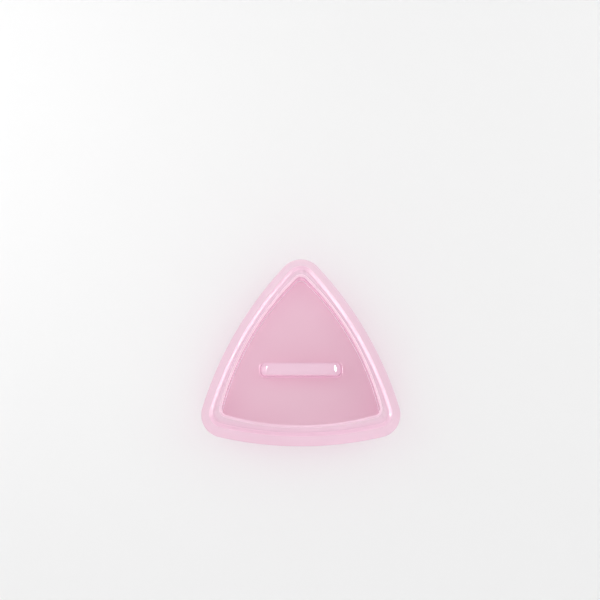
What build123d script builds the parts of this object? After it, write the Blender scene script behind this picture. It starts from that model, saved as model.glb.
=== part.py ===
from build123d import *
import os
from dataclasses import dataclass
from math import atan2, degrees, sqrt

os.makedirs("parts", exist_ok=True)

# Rice ball mold: a bottomless three-sided frame, and the press plate that lies inside it.
# Millimetres, +Z up. The flat side faces -Y and one corner points to +Y. The origin is on the
# table, under the middle of the frame's bounding box.

# Foot of the frame, seen from above: three bowed sides joined by round corners
BASE_MID_SIDE = 38.0
BASE_SIDE_RADIUS = 182.0
BASE_CORNER_RADIUS = 11.5

# Rice cavity, measured at the rim
CAVITY_MID_SIDE = 28.95
CAVITY_SIDE_RADIUS = 137.0
CAVITY_CORNER_RADIUS = 3.3
CAVITY_DRAFT = 0.12

# Frame section, from the foot up to the rim
FRAME_HEIGHT = 28.0
SKIRT_WALL = 1.7
STEP_HEIGHT = 13.5
STEP_WALL = 2.0
STEP_LEDGE = 1.8
TUBE_WALL = 1.7
COLLAR_WALL = 2.85
RIM_WALL = 1.1

# Rounded edges of the frame
RIM_ROUND = 0.3
STEP_ROUND = 0.7
COLLAR_FILLET = 1.1
BASE_ROUND = 0.3

# Press plate
PRESS_CLEARANCE = 0.3
PLATE_THICKNESS = 2.2
PLATE_TOP_ROUND = 0.3
PLATE_EDGE_ROUND = 0.4

# Bar handle in the middle of the press plate
HANDLE_LENGTH = 39.5
HANDLE_WIDTH = 6.0
HANDLE_HEIGHT = 8.0
HANDLE_SPREAD = 0.3
HANDLE_CORNER = 2.0
HANDLE_EDGE_ROUND = 0.8
HANDLE_FILLET = 1.2


@dataclass(frozen=True)
class Outline:
    """A closed outline about the mold's axis: three bowed sides and three round corners."""

    mid_side: float
    side_radius: float
    corner_radius: float

    def grown(self, by: float) -> "Outline":
        """The parallel outline that lies outside this one by a distance."""
        return Outline(self.mid_side + by, self.side_radius + by, self.corner_radius + by)

    @property
    def side_lead(self) -> float:
        """Distance from the axis back to the centre of each side's arc."""
        return self.side_radius - self.mid_side

    @property
    def corner_centre(self) -> float:
        """Distance from the axis to the centre of each corner's arc, which meets two sides."""
        between = self.side_radius - self.corner_radius
        return (sqrt(4 * between**2 - 3 * self.side_lead**2) - self.side_lead) / 2

    @property
    def corner_reach(self) -> float:
        """Distance from the axis to the middle of each corner."""
        return self.corner_centre + self.corner_radius

    def face(self) -> Sketch:
        """The filled outline, with one side towards -Y."""
        with BuildSketch() as sketch:
            with BuildLine():
                for turn in (0, 120, 240):
                    out = Vector(0, -1).rotate(Axis.Z, turn)
                    corner = out.rotate(Axis.Z, 60)
                    side_centre = out * -self.side_lead
                    to_corner = (corner * self.corner_centre - side_centre).normalized()
                    end = side_centre + to_corner * self.side_radius
                    start = (end - out * end.dot(out) * 2) * -1
                    ThreePointArc(start, out * self.mid_side, end)
                    ThreePointArc(end, corner * self.corner_reach, start.rotate(Axis.Z, 120))
            make_face()
        return sketch.sketch


BASE = Outline(BASE_MID_SIDE, BASE_SIDE_RADIUS, BASE_CORNER_RADIUS)
CAVITY = Outline(CAVITY_MID_SIDE, CAVITY_SIDE_RADIUS, CAVITY_CORNER_RADIUS)
PRESS = CAVITY.grown(-PRESS_CLEARANCE)
AXIS_Y = (BASE.mid_side - BASE.corner_reach) / 2
CAVITY_ANGLE = degrees(atan2(CAVITY_DRAFT, FRAME_HEIGHT))


def level(height: float) -> Plane:
    """The plane square to the mold's axis at a height above the table."""
    return Plane((0, AXIS_Y, height))


def cavity_at(height: float) -> Outline:
    """The cavity's outline at a height: it widens a little downwards, so that the rice lets go."""
    return CAVITY.grown(CAVITY_DRAFT * (FRAME_HEIGHT - height) / FRAME_HEIGHT)


def ledge(part: BuildPart, height: float) -> Face:
    """The level face of a part that lies nearest to a height."""
    return part.faces().filter_by(Axis.Z).sort_by(lambda face: abs(face.center().Z - height))[0]


# The collar's foot runs parallel to the frame's foot, and is COLLAR_WALL thick at the mid-sides.
# The skirt leans in from the table to the edge of the step.
COLLAR_INSET = BASE.mid_side - cavity_at(STEP_HEIGHT).mid_side - COLLAR_WALL
SKIRT_ANGLE = degrees(atan2(COLLAR_INSET - STEP_LEDGE, STEP_HEIGHT))


# Forming frame
with BuildPart() as frame:
    # Skirt: it leans in from the table up to the step
    with BuildSketch(level(0)):
        add(BASE.face())
    extrude(amount=STEP_HEIGHT, taper=SKIRT_ANGLE)

    # The skirt is a shell, open underneath
    with BuildSketch(level(0)):
        add(BASE.grown(-SKIRT_WALL).face())
    extrude(amount=STEP_HEIGHT - STEP_WALL, taper=SKIRT_ANGLE, mode=Mode.SUBTRACT)

    # Inner tube that holds the rice
    with BuildSketch(level(0)):
        add(cavity_at(0).grown(TUBE_WALL).face())
    extrude(amount=STEP_HEIGHT, taper=CAVITY_ANGLE)

    # Collar that carries the tube on, from the step up to the rim
    with BuildSketch(level(STEP_HEIGHT)):
        add(BASE.grown(-COLLAR_INSET).face())
    with BuildSketch(level(FRAME_HEIGHT)):
        add(CAVITY.grown(RIM_WALL).face())
    loft(ruled=True)

    # Cavity, open at both ends
    with BuildSketch(level(0)):
        add(cavity_at(0).face())
    extrude(amount=FRAME_HEIGHT, taper=CAVITY_ANGLE, mode=Mode.SUBTRACT)

    # Rounded rim, step and foot
    fillet(ledge(frame, FRAME_HEIGHT).edges(), RIM_ROUND)
    fillet(ledge(frame, STEP_HEIGHT).outer_wire().edges(), STEP_ROUND)
    fillet(ledge(frame, STEP_HEIGHT).inner_wires()[0].edges(), COLLAR_FILLET)
    base_rings = frame.faces().filter_by(Axis.Z).group_by(Axis.Z)[0].sort_by(SortBy.AREA)
    fillet(base_rings[-1].outer_wire().edges(), BASE_ROUND)

frame.part.label = "forming_frame"
export_step(frame.part, "parts/forming_frame.step")


# Press plate
with BuildPart() as press:
    # Bar handle: round corners in plan, walls that narrow a little upwards, eased top edges
    handle_top = PLATE_THICKNESS + HANDLE_HEIGHT
    with BuildSketch(level(PLATE_THICKNESS)):
        RectangleRounded(
            HANDLE_LENGTH + 2 * HANDLE_SPREAD, HANDLE_WIDTH + 2 * HANDLE_SPREAD, HANDLE_CORNER
        )
    extrude(amount=HANDLE_HEIGHT, taper=degrees(atan2(HANDLE_SPREAD, HANDLE_HEIGHT)))
    fillet(ledge(press, handle_top).edges(), HANDLE_EDGE_ROUND)

    # Flat plate that fits the cavity
    with BuildSketch(level(0)):
        add(PRESS.face())
    extrude(amount=PLATE_THICKNESS)

    # Eased edges of the plate, and the fillet where the bar stands on it
    fillet(ledge(press, PLATE_THICKNESS).outer_wire().edges(), PLATE_TOP_ROUND)
    fillet(ledge(press, PLATE_THICKNESS).inner_wires()[0].edges(), HANDLE_FILLET)
    fillet(ledge(press, 0).edges(), PLATE_EDGE_ROUND)

press.part.label = "press_plate"
export_step(press.part, "parts/press_plate.step")
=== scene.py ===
"""Looks of a triangular rice ball mold in milky pink plastic.

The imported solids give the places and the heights. The frame and the press plate are modelled again
as smooth meshes with rounded edges, dressed as moulded plastic and set on a pale table.
"""

import logging
import math
from dataclasses import dataclass
from enum import Enum
from typing import Iterable, NamedTuple, Sequence

import bmesh
import bpy
from mathutils import Matrix, Vector


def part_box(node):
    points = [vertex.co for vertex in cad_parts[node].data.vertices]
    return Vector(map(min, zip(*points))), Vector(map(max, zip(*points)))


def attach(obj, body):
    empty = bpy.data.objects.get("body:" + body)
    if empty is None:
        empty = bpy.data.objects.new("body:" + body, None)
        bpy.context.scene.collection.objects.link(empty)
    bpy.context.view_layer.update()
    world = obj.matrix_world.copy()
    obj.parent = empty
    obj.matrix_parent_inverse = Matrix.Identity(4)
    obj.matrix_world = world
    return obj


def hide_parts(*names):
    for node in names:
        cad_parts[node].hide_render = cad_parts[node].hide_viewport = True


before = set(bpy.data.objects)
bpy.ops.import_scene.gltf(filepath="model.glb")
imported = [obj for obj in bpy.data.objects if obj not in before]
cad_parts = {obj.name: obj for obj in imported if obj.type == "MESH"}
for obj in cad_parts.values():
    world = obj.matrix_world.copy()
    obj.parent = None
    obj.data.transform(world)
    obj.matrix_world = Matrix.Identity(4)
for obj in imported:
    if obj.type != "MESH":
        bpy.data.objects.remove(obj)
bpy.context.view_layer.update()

LOG = logging.getLogger("rice_ball_mold")
MM = 0.001
UP = Vector((0, 0, 1))
MERGE_DISTANCE = 0.001 * MM

# Steps round each side and each corner of an outline
SIDE_STEPS = 44
CORNER_STEPS = 20

# Least slopes, as the part of a unit vector that points up
UPRIGHT = 0.5
FACING_UP = 0.7
LEVEL = 0.9

# How strongly large faces keep their own normals
FLAT_WEIGHT = 80

Colour = tuple[float, float, float]
Triple = tuple[float, float, float]
Span = tuple[float, float]

# Moulded skin: its noises are drawn in metres, so their scales are counts per metre
NOISE_MIDDLE = 0.5
RIPPLE_SCALE = 90.0
HAZE_SCALE = 420.0
HAIR_TURN: Triple = (0.3, 0.2, 0.7)
HAIR_SCALE: Triple = (140.0, 2200.0, 900.0)
HAIR_SPAN: Span = (0.66, 0.78)

# Milky dye: the tint of a thick cloud, and the noise that lays the clouds out
CLOUD_TINT: Colour = (0.87, 0.8, 0.83)
CLOUD_DRIFT: Triple = (0.57, 0.44, 0.3)
CLOUD_SCALE = 14.0
CLOUD_SPAN: Span = (0.35, 0.65)


class Gloss(Enum):
    """How smooth a moulded face is: the roughness of its polish."""

    POLISHED = 0.12
    EASED = 0.18


class Arc(NamedTuple):
    """One stretch of an outline: the centre it turns about, the angle it turns and its steps."""

    centre: Vector
    angle: float
    steps: int


class SectionPoint(NamedTuple):
    """A corner of a wall's cross-section: how far outside the outline, how high, how rounded."""

    offset: float
    height: float
    ease: float = 0.0


@dataclass(frozen=True)
class Outline:
    """A closed outline about the mold's axis: three bowed sides and three round corners."""

    mid_side: float
    side_radius: float
    corner_radius: float

    def grown(self, by: float) -> "Outline":
        """Return the parallel outline that lies outside this one.

        Args:
            by: The distance between the two, in metres.

        Returns:
            The larger outline, or a smaller one if the distance is negative.
        """
        return Outline(self.mid_side + by, self.side_radius + by, self.corner_radius + by)

    @property
    def side_lead(self) -> float:
        """Distance from the axis back to the centre of each side's arc."""
        return self.side_radius - self.mid_side

    @property
    def corner_centre(self) -> float:
        """Distance from the axis to the centre of each corner's arc."""
        between = self.side_radius - self.corner_radius
        return (math.sqrt(4 * between**2 - 3 * self.side_lead**2) - self.side_lead) / 2

    @property
    def corner_reach(self) -> float:
        """Distance from the axis to the middle of each corner."""
        return self.corner_centre + self.corner_radius

    @property
    def half_side(self) -> float:
        """Half the angle that each side's arc turns, in radians."""
        across = self.corner_centre * math.sin(math.pi / 3)
        along = self.side_lead + self.corner_centre * math.cos(math.pi / 3)
        return math.atan2(across, along)

    def arcs(self) -> list[Arc]:
        """Return the arcs in order, from the middle of the +Y corner round to it again.

        Returns:
            Nine arcs: for each third, half a corner, a side and half of the next corner.
        """
        half_corner = math.pi / 3 - self.half_side
        stretches = []
        for third in range(3):
            corner = Matrix.Rotation(third * math.tau / 3, 3, "Z") @ Vector((0, 1, 0))
            side = Matrix.Rotation(math.pi / 3, 3, "Z") @ corner
            following = Matrix.Rotation(math.tau / 3, 3, "Z") @ corner
            stretches += [
                Arc(corner * self.corner_centre, half_corner, CORNER_STEPS // 2),
                Arc(side * -self.side_lead, 2 * self.half_side, SIDE_STEPS),
                Arc(following * self.corner_centre, half_corner, CORNER_STEPS // 2),
            ]
        return stretches


def edge_direction(edge: bmesh.types.BMEdge) -> Vector:
    """Return the unit vector along an edge."""
    return (edge.verts[1].co - edge.verts[0].co).normalized()


class Moulding:
    """A plastic moulding in the making: a mesh that is swept, bridged, eased and closed."""

    def __init__(self, name: str, axis: Vector) -> None:
        """Start an empty moulding.

        Args:
            name: The piece's name.
            axis: The foot of the mold's axis, on the table.
        """
        self.name = name
        self.axis = axis
        self.mesh = bmesh.new()
        self.mark = self.mesh.verts.layers.int.new("section_point")
        self.marks_used = 0

    def sweep(self, outline: Outline, section: Sequence[SectionPoint]) -> list[int]:
        """Carry an open cross-section round an outline by spinning it about each arc's centre.

        Args:
            outline: The outline to follow.
            section: The corners of the cross-section, in order.

        Returns:
            One mark for each corner, by which its loop is found again.
        """
        verts = []
        marks = []
        for point in section:
            place = Vector((0, outline.corner_reach + point.offset, point.height))
            verts.append(self.mesh.verts.new(self.axis + place))
            marks.append(self.new_mark(verts[-1:]))
        edges = [self.mesh.edges.new(pair) for pair in zip(verts, verts[1:])]
        ring = [*verts, *edges]
        for arc in outline.arcs():
            spun = bmesh.ops.spin(
                self.mesh, geom=ring, cent=self.axis + arc.centre, axis=UP,
                angle=arc.angle, steps=arc.steps, use_merge=False,
            )
            ring = spun["geom_last"]
        bmesh.ops.remove_doubles(self.mesh, verts=self.mesh.verts, dist=MERGE_DISTANCE)
        return marks

    def new_mark(self, verts: Iterable[bmesh.types.BMVert]) -> int:
        """Give vertices a mark of their own.

        Args:
            verts: The vertices.

        Returns:
            The new mark.
        """
        self.marks_used += 1
        for vert in verts:
            vert[self.mark] = self.marks_used
        return self.marks_used

    def loop(self, mark: int) -> list[bmesh.types.BMEdge]:
        """Return the edges of the loop that one corner of a cross-section left behind."""
        return [
            edge for edge in self.mesh.edges
            if all(vert[self.mark] == mark for vert in edge.verts)
        ]

    def bridge(self, first: int, second: int) -> None:
        """Close the gap between two loops with a band of faces."""
        bmesh.ops.bridge_loops(self.mesh, edges=self.loop(first) + self.loop(second))

    def ease(self, edges: Iterable[bmesh.types.BMEdge], width: float, segments: int = 6) -> None:
        """Round off edges.

        Args:
            edges: The edges to round.
            width: How far the rounding reaches from the edge, in metres.
            segments: How many faces go across the rounding.
        """
        bmesh.ops.bevel(
            self.mesh, geom=list(edges), offset=width, offset_type="OFFSET", affect="EDGES",
            segments=segments, profile=0.5, material=-1, clamp_overlap=True,
        )

    def ease_loops(self, widths: dict[int, float]) -> None:
        """Round off the loops of swept walls, all of them found before the first is rounded.

        Args:
            widths: How far the rounding of each loop reaches, by the loop's mark.
        """
        loops = [(self.loop(mark), width) for mark, width in widths.items() if width]
        for edges, width in loops:
            self.ease(edges, width)

    def face_outwards(self) -> None:
        """Turn every face of the closed moulding outwards."""
        bmesh.ops.recalc_face_normals(self.mesh, faces=self.mesh.faces)

    def finish(self) -> bpy.types.Object:
        """Turn the moulding into an object with smooth shading.

        Returns:
            The object, at the origin, with its place in its mesh.
        """
        self.face_outwards()
        data = bpy.data.meshes.new(self.name)
        self.mesh.to_mesh(data)
        self.mesh.free()
        data.attributes.remove(data.attributes["section_point"])
        data.shade_smooth()
        piece = bpy.data.objects.new(self.name, data)
        bpy.context.collection.objects.link(piece)
        flatten = piece.modifiers.new("Flat faces stay flat", "WEIGHTED_NORMAL")
        flatten.mode = "FACE_AREA_WITH_ANGLE"
        flatten.weight = FLAT_WEIGHT
        return piece


class NodeTree:
    """A thin cover over a node tree that adds and links nodes in single lines."""

    def __init__(self, tree: bpy.types.NodeTree) -> None:
        """Take over a node tree."""
        self.tree = tree

    def add(
        self, kind: str, values: dict[str | int, object] | None = None, **settings: object,
    ) -> bpy.types.Node:
        """Add a node.

        Args:
            kind: The node's type.
            values: Values of its inputs, by the input's name or number.
            settings: Properties of the node.

        Returns:
            The new node.
        """
        node = self.tree.nodes.new(kind)
        for name, setting in settings.items():
            setattr(node, name, setting)
        for key, value in (values or {}).items():
            node.inputs[key].default_value = value
        return node

    def link(self, source: bpy.types.NodeSocket, target: bpy.types.NodeSocket) -> None:
        """Link an output to an input."""
        self.tree.links.new(source, target)


def moulded_skin_group() -> bpy.types.NodeTree:
    """Build the shared effect of a moulded skin: ripple, haze, hairline scuffs and a worn top.

    Returns:
        A group with a Height for bump and a Roughness that changes over the surface.
    """
    tree = bpy.data.node_groups.new("Moulded skin", "ShaderNodeTree")
    sockets = tree.interface
    for name in ("Polish", "Haze", "Scuff", "Wear", "Unworn Below", "Worn Above"):
        sockets.new_socket(name, in_out="INPUT", socket_type="NodeSocketFloat")
    sockets.new_socket("Height", in_out="OUTPUT", socket_type="NodeSocketFloat")
    sockets.new_socket("Roughness", in_out="OUTPUT", socket_type="NodeSocketFloat")
    nodes = NodeTree(tree)
    given = nodes.add("NodeGroupInput")
    result = nodes.add("NodeGroupOutput")
    place = nodes.add("ShaderNodeTexCoord")

    # Textures: a soft ripple, a fine haze and stretched hairlines
    ripple = nodes.add(
        "ShaderNodeTexNoise", {"Scale": RIPPLE_SCALE, "Detail": 2.0, "Roughness": 0.4},
    )
    haze = nodes.add(
        "ShaderNodeTexNoise", {"Scale": HAZE_SCALE, "Detail": 5.0, "Roughness": 0.6},
    )
    stretch = nodes.add("ShaderNodeMapping", {"Rotation": HAIR_TURN, "Scale": HAIR_SCALE})
    hairs = nodes.add("ShaderNodeTexNoise", {"Scale": 1.0, "Detail": 2.0, "Roughness": 0.5})
    hair_mask = nodes.add(
        "ShaderNodeMapRange", {"From Min": HAIR_SPAN[0], "From Max": HAIR_SPAN[1]},
    )
    for texture in (ripple, haze, stretch):
        nodes.link(place.outputs["Object"], texture.inputs["Vector"])
    nodes.link(stretch.outputs["Vector"], hairs.inputs["Vector"])
    nodes.link(hairs.outputs["Fac"], hair_mask.inputs["Value"])

    # The haze sways the polish both ways, and the hairlines and the worn top roughen it
    centred = nodes.add("ShaderNodeMath", {1: NOISE_MIDDLE}, operation="SUBTRACT")
    nodes.link(haze.outputs["Fac"], centred.inputs[0])
    hazed = nodes.add("ShaderNodeMath", operation="MULTIPLY_ADD")
    nodes.link(centred.outputs[0], hazed.inputs[0])
    nodes.link(given.outputs["Haze"], hazed.inputs[1])
    nodes.link(given.outputs["Polish"], hazed.inputs[2])
    scuffed = nodes.add("ShaderNodeMath", operation="MULTIPLY_ADD", use_clamp=True)
    nodes.link(hair_mask.outputs["Result"], scuffed.inputs[0])
    nodes.link(given.outputs["Scuff"], scuffed.inputs[1])
    nodes.link(hazed.outputs[0], scuffed.inputs[2])
    parts = nodes.add("ShaderNodeSeparateXYZ")
    nodes.link(place.outputs["Object"], parts.inputs["Vector"])
    top = nodes.add("ShaderNodeMapRange", interpolation_type="SMOOTHSTEP")
    nodes.link(parts.outputs["Z"], top.inputs["Value"])
    nodes.link(given.outputs["Unworn Below"], top.inputs["From Min"])
    nodes.link(given.outputs["Worn Above"], top.inputs["From Max"])
    worn = nodes.add("ShaderNodeMath", operation="MULTIPLY_ADD", use_clamp=True)
    nodes.link(top.outputs["Result"], worn.inputs[0])
    nodes.link(given.outputs["Wear"], worn.inputs[1])
    nodes.link(scuffed.outputs[0], worn.inputs[2])
    nodes.link(worn.outputs[0], result.inputs["Roughness"])
    nodes.link(ripple.outputs["Fac"], result.inputs["Height"])
    return tree


def dye_and_painted_light_group() -> bpy.types.NodeTree:
    """Build the shared colour of the milky plastic: clouds of thicker pigment, and a height tone
    that is painted light and shade.

    Returns:
        A group with a Colour that changes over the surface.
    """
    tree = bpy.data.node_groups.new("Milky dye and painted light", "ShaderNodeTree")
    sockets = tree.interface
    for name in ("Upper", "Lower"):
        sockets.new_socket(name, in_out="INPUT", socket_type="NodeSocketColor")
    for name in ("Lower Below", "Upper Above", "Clouding"):
        sockets.new_socket(name, in_out="INPUT", socket_type="NodeSocketFloat")
    sockets.new_socket("Colour", in_out="OUTPUT", socket_type="NodeSocketColor")
    nodes = NodeTree(tree)
    given = nodes.add("NodeGroupInput")
    result = nodes.add("NodeGroupOutput")
    place = nodes.add("ShaderNodeTexCoord")

    # Painted light and shade: the tone goes from the lower to the upper one with the height
    parts = nodes.add("ShaderNodeSeparateXYZ")
    nodes.link(place.outputs["Object"], parts.inputs["Vector"])
    depth = nodes.add(
        "ShaderNodeMapRange", {"To Min": 1.0, "To Max": 0.0}, interpolation_type="SMOOTHSTEP",
    )
    nodes.link(parts.outputs["Z"], depth.inputs["Value"])
    nodes.link(given.outputs["Lower Below"], depth.inputs["From Min"])
    nodes.link(given.outputs["Upper Above"], depth.inputs["From Max"])
    blend = nodes.add("ShaderNodeMix", data_type="RGBA")
    nodes.link(depth.outputs["Result"], blend.inputs["Factor"])
    nodes.link(given.outputs["Upper"], blend.inputs["A"])
    nodes.link(given.outputs["Lower"], blend.inputs["B"])

    # Clouds of thicker dye deepen the tone
    drift = nodes.add("ShaderNodeMapping", {"Location": CLOUD_DRIFT})
    cloud = nodes.add(
        "ShaderNodeTexNoise", {"Scale": CLOUD_SCALE, "Detail": 2.0, "Roughness": 0.45},
    )
    thick = nodes.add(
        "ShaderNodeMapRange", {"From Min": CLOUD_SPAN[0], "From Max": CLOUD_SPAN[1]},
    )
    nodes.link(place.outputs["Object"], drift.inputs["Vector"])
    nodes.link(drift.outputs["Vector"], cloud.inputs["Vector"])
    nodes.link(cloud.outputs["Fac"], thick.inputs["Value"])
    nodes.link(given.outputs["Clouding"], thick.inputs["To Max"])
    clouded = nodes.add("ShaderNodeMix", data_type="RGBA", blend_type="MULTIPLY")
    clouded.inputs["B"].default_value = (*CLOUD_TINT, 1.0)
    nodes.link(thick.outputs["Result"], clouded.inputs["Factor"])
    nodes.link(blend.outputs["Result"], clouded.inputs["A"])
    nodes.link(clouded.outputs["Result"], result.inputs["Colour"])
    return tree


@dataclass(frozen=True)
class MilkyPlastic:
    """A translucent moulded plastic, dyed through, with light and shade painted into its tone by
    height.

    Attributes:
        name: The material's name.
        upper: The tone of the upper part, pink with painted light and shade in it.
        lower: The tone of the lower part, pink with painted light and shade in it.
        lower_below: The height up to which the lower tone is pure, in metres.
        upper_above: The height from which the upper tone is pure, in metres.
        gloss: The polish of the faces.
        worn_above: The height from which the top is fully worn, in metres.
        through: The share of the light that passes one face of the plastic.
        worn_fade: The height over which the wear sets in, in metres.
        wear: How much the worn top is rougher.
        clouding: How much the clouds of dye tint the plastic.
        haze: How much the roughness sways.
        scuff: How much the hairlines are rougher.
        ripple: The strength of the ripple.
        ripple_depth: The depth of the ripple, in metres.
        mirrored_blur: How much rougher the plastic is where it is seen in a reflection.
        bending: The index of refraction.
    """

    name: str
    upper: Colour
    lower: Colour
    lower_below: float
    upper_above: float
    gloss: Gloss
    worn_above: float
    through: Colour
    worn_fade: float = 1.0 * MM
    wear: float = 0.27
    clouding: float = 0.4
    haze: float = 0.01
    scuff: float = 0.0
    ripple: float = 0.02
    ripple_depth: float = 0.12 * MM
    mirrored_blur: float = 0.6
    bending: float = 1.49

    def material(self, skin: bpy.types.NodeTree, dye_and_light: bpy.types.NodeTree) -> bpy.types.Material:
        """Build the material.

        Args:
            skin: The shared moulded skin.
            dye_and_light: The shared colour group, with milky clouds and painted light and shade.

        Returns:
            The new material.
        """
        material = bpy.data.materials.new(self.name)
        material.use_nodes = True
        nodes = NodeTree(material.node_tree)
        shader = material.node_tree.nodes["Principled BSDF"]
        shader.inputs["IOR"].default_value = self.bending
        colour = nodes.add("ShaderNodeGroup", node_tree=dye_and_light)
        colour.inputs["Upper"].default_value = (*self.upper, 1.0)
        colour.inputs["Lower"].default_value = (*self.lower, 1.0)
        colour.inputs["Lower Below"].default_value = self.lower_below
        colour.inputs["Upper Above"].default_value = self.upper_above
        colour.inputs["Clouding"].default_value = self.clouding
        surface = nodes.add("ShaderNodeGroup", node_tree=skin)
        surface.inputs["Polish"].default_value = self.gloss.value
        surface.inputs["Haze"].default_value = self.haze
        surface.inputs["Scuff"].default_value = self.scuff
        surface.inputs["Wear"].default_value = self.wear
        surface.inputs["Unworn Below"].default_value = self.worn_above - self.worn_fade
        surface.inputs["Worn Above"].default_value = self.worn_above
        bump = nodes.add("ShaderNodeBump", {"Strength": self.ripple, "Distance": self.ripple_depth})
        nodes.link(colour.outputs["Colour"], shader.inputs["Base Color"])
        nodes.link(surface.outputs["Height"], bump.inputs["Height"])
        nodes.link(bump.outputs["Normal"], shader.inputs["Normal"])

        # Plastic that is seen in a reflection is blurred
        light = nodes.add("ShaderNodeLightPath")
        mirrored = nodes.add("ShaderNodeMath", {1: self.mirrored_blur}, operation="MULTIPLY_ADD")
        nodes.link(light.outputs["Is Glossy Ray"], mirrored.inputs[0])
        nodes.link(surface.outputs["Roughness"], mirrored.inputs[2])
        nodes.link(mirrored.outputs["Value"], shader.inputs["Roughness"])

        # Light on its way through the walls passes with a tint
        passing = nodes.add("ShaderNodeBsdfTransparent", {"Color": (*self.through, 1.0)})
        milk = shader.outputs["BSDF"]
        for ray in ("Is Shadow Ray", "Is Diffuse Ray"):
            blend = nodes.add("ShaderNodeMixShader")
            nodes.link(light.outputs[ray], blend.inputs["Fac"])
            nodes.link(milk, blend.inputs[1])
            nodes.link(passing.outputs["BSDF"], blend.inputs[2])
            milk = blend.outputs["Shader"]
        nodes.link(milk, material.node_tree.nodes["Material Output"].inputs["Surface"])
        return material


FRAME_PINK = MilkyPlastic(
    name="Milky pink frame plastic",
    # Painted shade: the collar and rim above 15 mm are painted deeper than the skirt below 13 mm
    upper=(0.885, 0.588, 0.722),
    lower=(0.95, 0.64, 0.78),
    lower_below=13.0 * MM,
    upper_above=15.0 * MM,
    gloss=Gloss.EASED,
    worn_above=27.7 * MM,
    through=(0.975, 0.885, 0.93),
)

PRESS_PINK = MilkyPlastic(
    name="Milky pink press plastic",
    # Painted glow: the bar above 2.6 mm is painted paler than the plate below 2.22 mm, as if light
    # shone through its thick body
    upper=(0.93, 0.68, 0.8),
    lower=(0.862, 0.614, 0.704),
    lower_below=2.22 * MM,
    upper_above=2.6 * MM,
    gloss=Gloss.POLISHED,
    worn_above=10.4 * MM,
    through=(0.97, 0.8, 0.88),
    clouding=0.7,
    wear=0.02,
    haze=0.03,
    scuff=0.03,
)


@dataclass
class DyedMoulding:
    """What both mouldings of the mold have: a finish, and the way it is put on."""

    plastic: MilkyPlastic

    def dress(
        self, piece: bpy.types.Object, skin: bpy.types.NodeTree, dye_and_light: bpy.types.NodeTree,
    ) -> None:
        """Give a finished piece its plastic.

        Args:
            piece: The piece.
            skin: The shared moulded skin.
            dye_and_light: The shared colour group, with milky clouds and painted light and shade.
        """
        piece.data.materials.append(self.plastic.material(skin, dye_and_light))


@dataclass
class FormingFrame(DyedMoulding):
    """The bottomless frame: a leaning skirt, a step, and a tube that ends in a rim."""

    plastic: MilkyPlastic = FRAME_PINK
    node: str = "forming_frame"
    body: str = "frame"
    slot: str = "frame_plastic"
    # The foot lies 0.03 mm inside the solid's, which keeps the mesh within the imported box
    base: Outline = Outline(
        mid_side=37.97 * MM, side_radius=181.97 * MM, corner_radius=11.47 * MM,
    )
    cavity: Outline = Outline(
        mid_side=28.95 * MM, side_radius=137.0 * MM, corner_radius=3.3 * MM,
    )
    cavity_draft: float = 0.12 * MM
    skirt_wall: float = 1.7 * MM
    step_height: float = 13.5 * MM
    step_wall: float = 2.0 * MM
    step_ledge: float = 1.8 * MM
    tube_wall: float = 1.7 * MM
    collar_wall: float = 2.85 * MM
    rim_wall: float = 1.1 * MM
    rim_ease: float = 0.3 * MM
    step_ease: float = 0.51 * MM
    collar_fillet: float = 0.96 * MM
    base_ease: float = 0.38 * MM
    hidden_ease: float = 0.3 * MM

    @property
    def height(self) -> float:
        """Height of the rim above the table, as packed."""
        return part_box(self.node)[1].z

    @property
    def axis(self) -> Vector:
        """Foot of the mold's axis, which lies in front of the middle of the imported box."""
        return Vector((0, (self.base.mid_side - self.base.corner_reach) / 2, 0))

    @property
    def collar_inset(self) -> float:
        """How far the collar's foot stands inside the foot of the skirt."""
        cavity = self.cavity.mid_side + self.cavity_flare(self.step_height)
        return self.base.mid_side - cavity - self.collar_wall

    def skirt_inset(self, height: float) -> float:
        """How far the skirt's outer face stands inside its lower edge at a height."""
        return (self.collar_inset - self.step_ledge) * height / self.step_height

    def cavity_flare(self, height: float) -> float:
        """How far the cavity is wider at a height than at the rim."""
        return self.cavity_draft * (self.height - height) / self.height

    def skirt_section(self) -> list[SectionPoint]:
        """Lay out the skirt's cross-section.

        Returns:
            Its corners, from the hollow's roof down to the foot and up over the step.
        """
        roof = self.step_height - self.step_wall
        return [
            SectionPoint(-self.skirt_inset(roof) - self.skirt_wall, roof, self.hidden_ease),
            SectionPoint(-self.skirt_wall, 0, self.hidden_ease),
            SectionPoint(0, 0, self.base_ease),
            SectionPoint(-self.skirt_inset(self.step_height), self.step_height, self.step_ease),
            SectionPoint(-self.collar_inset, self.step_height, self.collar_fillet),
        ]

    def tube_section(self) -> list[SectionPoint]:
        """Lay out the tube's cross-section.

        Returns:
            Its corners, from the rim down inside and up to the hollow's roof.
        """
        roof = self.step_height - self.step_wall
        return [
            SectionPoint(self.rim_wall, self.height, self.rim_ease),
            SectionPoint(0, self.height, self.rim_ease),
            SectionPoint(self.cavity_draft, 0, self.hidden_ease),
            SectionPoint(self.cavity_draft + self.tube_wall, 0, self.hidden_ease),
            SectionPoint(self.cavity_flare(roof) + self.tube_wall, roof, self.hidden_ease),
        ]

    def build(self) -> bpy.types.Object:
        """Model the frame.

        Returns:
            The frame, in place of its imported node.
        """
        moulding = Moulding("moulded_frame", self.axis)
        skirt_section = self.skirt_section()
        tube_section = self.tube_section()
        skirt = moulding.sweep(self.base, skirt_section)
        tube = moulding.sweep(self.cavity, tube_section)
        moulding.bridge(skirt[-1], tube[0])
        moulding.bridge(tube[-1], skirt[0])
        moulding.face_outwards()
        corners = zip(skirt + tube, skirt_section + tube_section)
        moulding.ease_loops({mark: corner.ease for mark, corner in corners})
        return settle(moulding.finish(), self.node, self.body)


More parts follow.
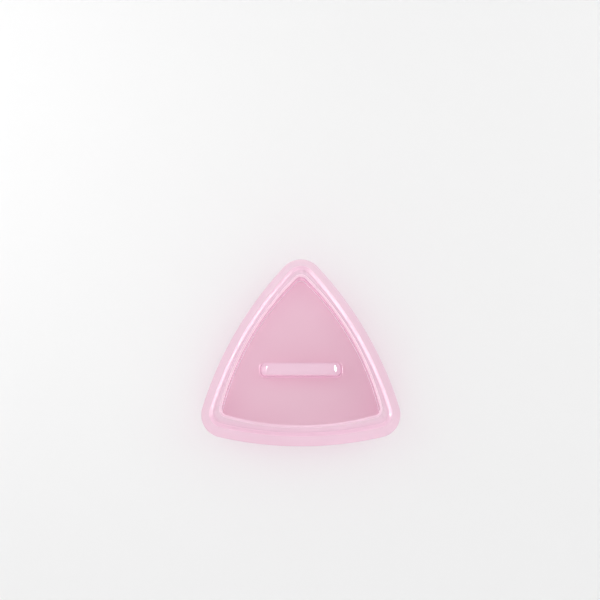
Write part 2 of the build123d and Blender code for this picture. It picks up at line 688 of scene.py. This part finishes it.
@dataclass
class PressPlate(DyedMoulding):
    """The press: a flat plate with a bar handle across its middle."""

    plastic: MilkyPlastic = PRESS_PINK
    node: str = "press_plate"
    body: str = "press"
    slot: str = "press_plastic"
    clearance: float = 0.3 * MM
    plate: float = 2.2 * MM
    top_ease: float = 0.3 * MM
    edge_ease: float = 0.4 * MM
    edge_band: float = 2.0 * MM
    bar_length: float = 39.5 * MM
    bar_width: float = 6.0 * MM
    bar_spread: float = 0.3 * MM
    bar_corner: float = 2.0 * MM
    bar_corner_segments: int = 10
    bar_end_run: float = 4.0 * MM
    bar_side_run: float = 2.4 * MM
    bar_end_fall: float = 1.4 * MM
    bar_side_fall: float = 0.5 * MM
    bar_crown_cuts: int = 5
    bar_crown_margin: float = 1.5
    bar_edge_ease: float = 0.7 * MM
    bar_fillet: float = 1.1 * MM
    bar_apron: float = 2.0 * MM

    @property
    def bar_top(self) -> float:
        """Height of the bar's top above the table, as packed."""
        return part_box(self.node)[1].z

    def edge_section(self) -> list[SectionPoint]:
        """Lay out the cross-section of the plate's edge.

        Returns:
            Its corners, from the plate's top to its underside.
        """
        return [
            SectionPoint(-self.edge_band, self.plate),
            SectionPoint(0, self.plate, self.top_ease),
            SectionPoint(0, 0, self.edge_ease),
            SectionPoint(-self.edge_band, 0),
        ]

    def add_bar(self, moulding: Moulding) -> int:
        """Model the bar handle, with a level apron round its foot.

        Args:
            moulding: The press in the making, still empty.

        Returns:
            The mark of the apron's outer loop, level with the plate's top.
        """
        mesh = moulding.mesh
        height = self.bar_top - self.plate
        foot_length = self.bar_length + 2 * self.bar_spread
        foot_width = self.bar_width + 2 * self.bar_spread
        middle = moulding.axis + UP * (self.plate + height / 2)
        placed = Matrix.Translation(middle) @ Matrix.Diagonal((foot_length, foot_width, height, 1))
        cube = bmesh.ops.create_cube(mesh, size=1.0, matrix=placed)["verts"]
        top = [vert for vert in cube if vert.co.z > middle.z]
        narrowing = Vector((self.bar_length / foot_length, self.bar_width / foot_width, 1))
        bmesh.ops.scale(mesh, vec=narrowing, space=Matrix.Translation(-moulding.axis), verts=top)
        uprights = [edge for edge in mesh.edges if abs(edge_direction(edge).z) > UPRIGHT]
        moulding.ease(uprights, self.bar_corner, self.bar_corner_segments)
        self.crown_top(mesh, middle)
        top_outline = [
            edge for edge in mesh.edges
            if sum(face.normal.z > FACING_UP for face in edge.link_faces) == 1
        ]
        moulding.ease(top_outline, self.bar_edge_ease)
        under = min(mesh.faces, key=lambda face: face.calc_center_median().z)
        foot = list(under.edges)
        bmesh.ops.delete(mesh, geom=[under], context="FACES_ONLY")
        spread = bmesh.ops.extrude_edge_only(mesh, edges=foot)["geom"]
        apron = [item for item in spread if isinstance(item, bmesh.types.BMVert)]
        widening = Vector((
            1 + 2 * self.bar_apron / foot_length, 1 + 2 * self.bar_apron / foot_width, 1,
        ))
        bmesh.ops.scale(mesh, vec=widening, space=Matrix.Translation(-moulding.axis), verts=apron)
        moulding.face_outwards()
        moulding.ease(foot, self.bar_fillet)
        return moulding.new_mark(vert for vert in mesh.verts if vert.is_boundary)

    def crown_top(self, mesh: bmesh.types.BMesh, middle: Vector) -> None:
        """Let the bar's level top fall away towards its ends and, less, towards its sides.

        Args:
            mesh: The bar, still with a level top.
            middle: The middle of the bar.
        """
        for across, half, run in (
            (Vector((1, 0, 0)), self.bar_length / 2, self.bar_end_run),
            (Vector((0, 1, 0)), self.bar_width / 2, self.bar_side_run),
        ):
            spacing = (run - self.bar_crown_margin * self.bar_edge_ease) / self.bar_crown_cuts
            for cut in range(self.bar_crown_cuts + 1):
                for side in (across, -across):
                    tops = [face for face in mesh.faces if face.normal.z > LEVEL]
                    rims = dict.fromkeys(edge for face in tops for edge in face.edges)
                    bmesh.ops.bisect_plane(
                        mesh, geom=[*tops, *rims], plane_no=side,
                        plane_co=middle + side * (half - run + cut * spacing),
                    )
        for vert in mesh.verts:
            if vert.co.z > self.bar_top - MERGE_DISTANCE:
                along = abs(vert.co.x - middle.x) - self.bar_length / 2 + self.bar_end_run
                aside = abs(vert.co.y - middle.y) - self.bar_width / 2 + self.bar_side_run
                past_end = max(along, 0) / self.bar_end_run
                past_side = max(aside, 0) / self.bar_side_run
                vert.co.z -= self.bar_end_fall * past_end**2 + self.bar_side_fall * past_side**2
        mesh.normal_update()

    def build(self, axis: Vector, cavity: Outline) -> bpy.types.Object:
        """Model the press.

        Args:
            axis: The foot of the mold's axis.
            cavity: The outline that the press fits into.

        Returns:
            The press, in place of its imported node.
        """
        moulding = Moulding("moulded_press", axis)
        apron = self.add_bar(moulding)
        section = self.edge_section()
        edge = moulding.sweep(cavity.grown(-self.clearance), section)
        bmesh.ops.contextual_create(moulding.mesh, geom=moulding.loop(edge[-1]))
        top = moulding.loop(apron) + moulding.loop(edge[0])
        bmesh.ops.triangle_fill(moulding.mesh, use_beauty=True, edges=top)
        moulding.face_outwards()
        moulding.ease_loops({mark: corner.ease for mark, corner in zip(edge, section)})
        return settle(moulding.finish(), self.node, self.body)


def settle(piece: bpy.types.Object, node: str, body: str) -> bpy.types.Object:
    """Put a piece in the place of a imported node.

    Args:
        piece: The new piece.
        node: The node that it stands for.
        body: The body that it moves with.

    Returns:
        The same piece.
    """
    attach(piece, body)
    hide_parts(node)
    return piece


@dataclass(frozen=True)
class SoftLamp:
    """An oblong soft lamp that hangs round the mold and faces it.

    Attributes:
        name: The lamp's name.
        azimuth: Its direction from the mold, in degrees from +X towards +Y.
        height: Its height above the table, in degrees.
        reach: Its distance from the origin, in metres.
        length: Its level size, in metres.
        width: Its other size, in metres.
        power: Its power, in watts.
        lights_faces: Whether it lights faces, or only shows as a highlight on them.
    """

    name: str
    azimuth: float
    height: float
    reach: float
    length: float
    width: float
    power: float
    lights_faces: bool = True

    def hang(self) -> bpy.types.Object:
        """Hang the lamp, with its length level.

        Returns:
            The lamp.
        """
        light = bpy.data.lights.new(self.name, "AREA")
        light.shape = "RECTANGLE"
        light.size = self.length
        light.size_y = self.width
        light.energy = self.power
        lamp = bpy.data.objects.new(self.name, light)
        turn = Matrix.Rotation(math.radians(self.azimuth), 3, "Z")
        rise = Matrix.Rotation(math.radians(-self.height), 3, "Y")
        away = turn @ rise @ Vector((1, 0, 0))
        lamp.location = away * self.reach
        lamp.rotation_euler = away.to_track_quat("Z", "Y").to_euler()
        lamp.visible_diffuse = self.lights_faces
        bpy.context.collection.objects.link(lamp)
        return lamp


@dataclass
class Studio:
    """A pale table, soft lamps and a camera that looks down on the mold."""

    table_span: float = 3.0
    table_gap: float = 0.05 * MM
    table_colour: Colour = (0.9, 0.9, 0.9)
    table_roughness: float = 0.7
    sky: float = 0.62
    lamps: tuple[SoftLamp, ...] = (
        SoftLamp(
            "lamp_left", azimuth=150.0, height=40.0, reach=0.45,
            length=0.28, width=0.17, power=0.48,
        ),
        SoftLamp(
            "lamp_right", azimuth=30.0, height=40.0, reach=0.8,
            length=0.5, width=0.3, power=1.5,
        ),
        SoftLamp(
            "lamp_front", azimuth=270.0, height=25.0, reach=0.9,
            length=1.0, width=0.4, power=2.2,
        ),
        SoftLamp(
            "card_left", azimuth=150.0, height=62.0, reach=0.8,
            length=0.25, width=0.05, power=6.0, lights_faces=False,
        ),
        SoftLamp(
            "card_left_low", azimuth=180.0, height=40.0, reach=0.8,
            length=0.08, width=0.3, power=2.5, lights_faces=False,
        ),
        SoftLamp(
            "card_right", azimuth=21.0, height=60.0, reach=0.8,
            length=0.5, width=0.16, power=13.0, lights_faces=False,
        ),
    )
    lens: float = 400.0
    picture_span: float = 300.0 * MM
    sight: float = 10.0
    tilt: float = 4.3
    aim_beside_axis: float = -0.4 * MM
    aim_past_axis: float = 35.35 * MM

    def lay_table(self) -> bpy.types.Object:
        """Lay the table under the mold.

        Returns:
            The table.
        """
        data = bpy.data.meshes.new("table")
        mesh = bmesh.new()
        place = Matrix.Translation((0, 0, -self.table_gap))
        bmesh.ops.create_grid(mesh, size=self.table_span / 2, matrix=place)
        mesh.to_mesh(data)
        mesh.free()
        table = bpy.data.objects.new("table", data)
        bpy.context.collection.objects.link(table)
        material = bpy.data.materials.new("Pale table")
        material.use_nodes = True
        shader = material.node_tree.nodes["Principled BSDF"]
        shader.inputs["Base Color"].default_value = (*self.table_colour, 1.0)
        shader.inputs["Roughness"].default_value = self.table_roughness
        shader.inputs["Specular IOR Level"].default_value = 0.0
        data.materials.append(material)
        return table

    def light_room(self) -> None:
        """Hang the lamps and fill the room with even light."""
        for lamp in self.lamps:
            lamp.hang()
        world = bpy.data.worlds.new("room")
        world.use_nodes = True
        background = world.node_tree.nodes["Background"]
        background.inputs["Color"].default_value = (1, 1, 1, 1)
        background.inputs["Strength"].default_value = self.sky
        bpy.context.scene.world = world

    def set_camera(self, axis: Vector) -> bpy.types.Object:
        """Set the camera above the mold, tipped a little towards the front side.

        Args:
            axis: The foot of the mold's axis.

        Returns:
            The camera.
        """
        data = bpy.data.cameras.new("camera")
        data.lens = self.lens
        camera = bpy.data.objects.new("camera", data)
        bpy.context.collection.objects.link(camera)
        distance = self.picture_span * self.lens / data.sensor_width
        tilt = math.radians(self.tilt)
        back = Vector((0, -math.sin(tilt), math.cos(tilt)))
        aim = axis + Vector((self.aim_beside_axis, self.aim_past_axis, 0))
        camera.location = aim + back * distance
        camera.rotation_euler = (tilt, 0, 0)
        data.clip_end = self.sight
        bpy.context.scene.camera = camera
        return camera


def main() -> None:
    """Build, dress and light the mold."""
    logging.basicConfig(level=logging.INFO, format="%(message)s")
    bpy.context.scene.view_settings.view_transform = "Standard"
    skin = moulded_skin_group()
    dye_and_light = dye_and_painted_light_group()
    forming_frame = FormingFrame()
    press_plate = PressPlate()
    pieces = (
        (forming_frame, forming_frame.build()),
        (press_plate, press_plate.build(forming_frame.axis, forming_frame.cavity)),
    )
    for moulded, piece in pieces:
        moulded.dress(piece, skin, dye_and_light)
        LOG.info("%s: %d faces, %s", piece.name, len(piece.data.polygons), moulded.plastic.name)
    studio = Studio()
    studio.lay_table()
    studio.light_room()
    studio.set_camera(forming_frame.axis)


if __name__ == "__main__":
    main()
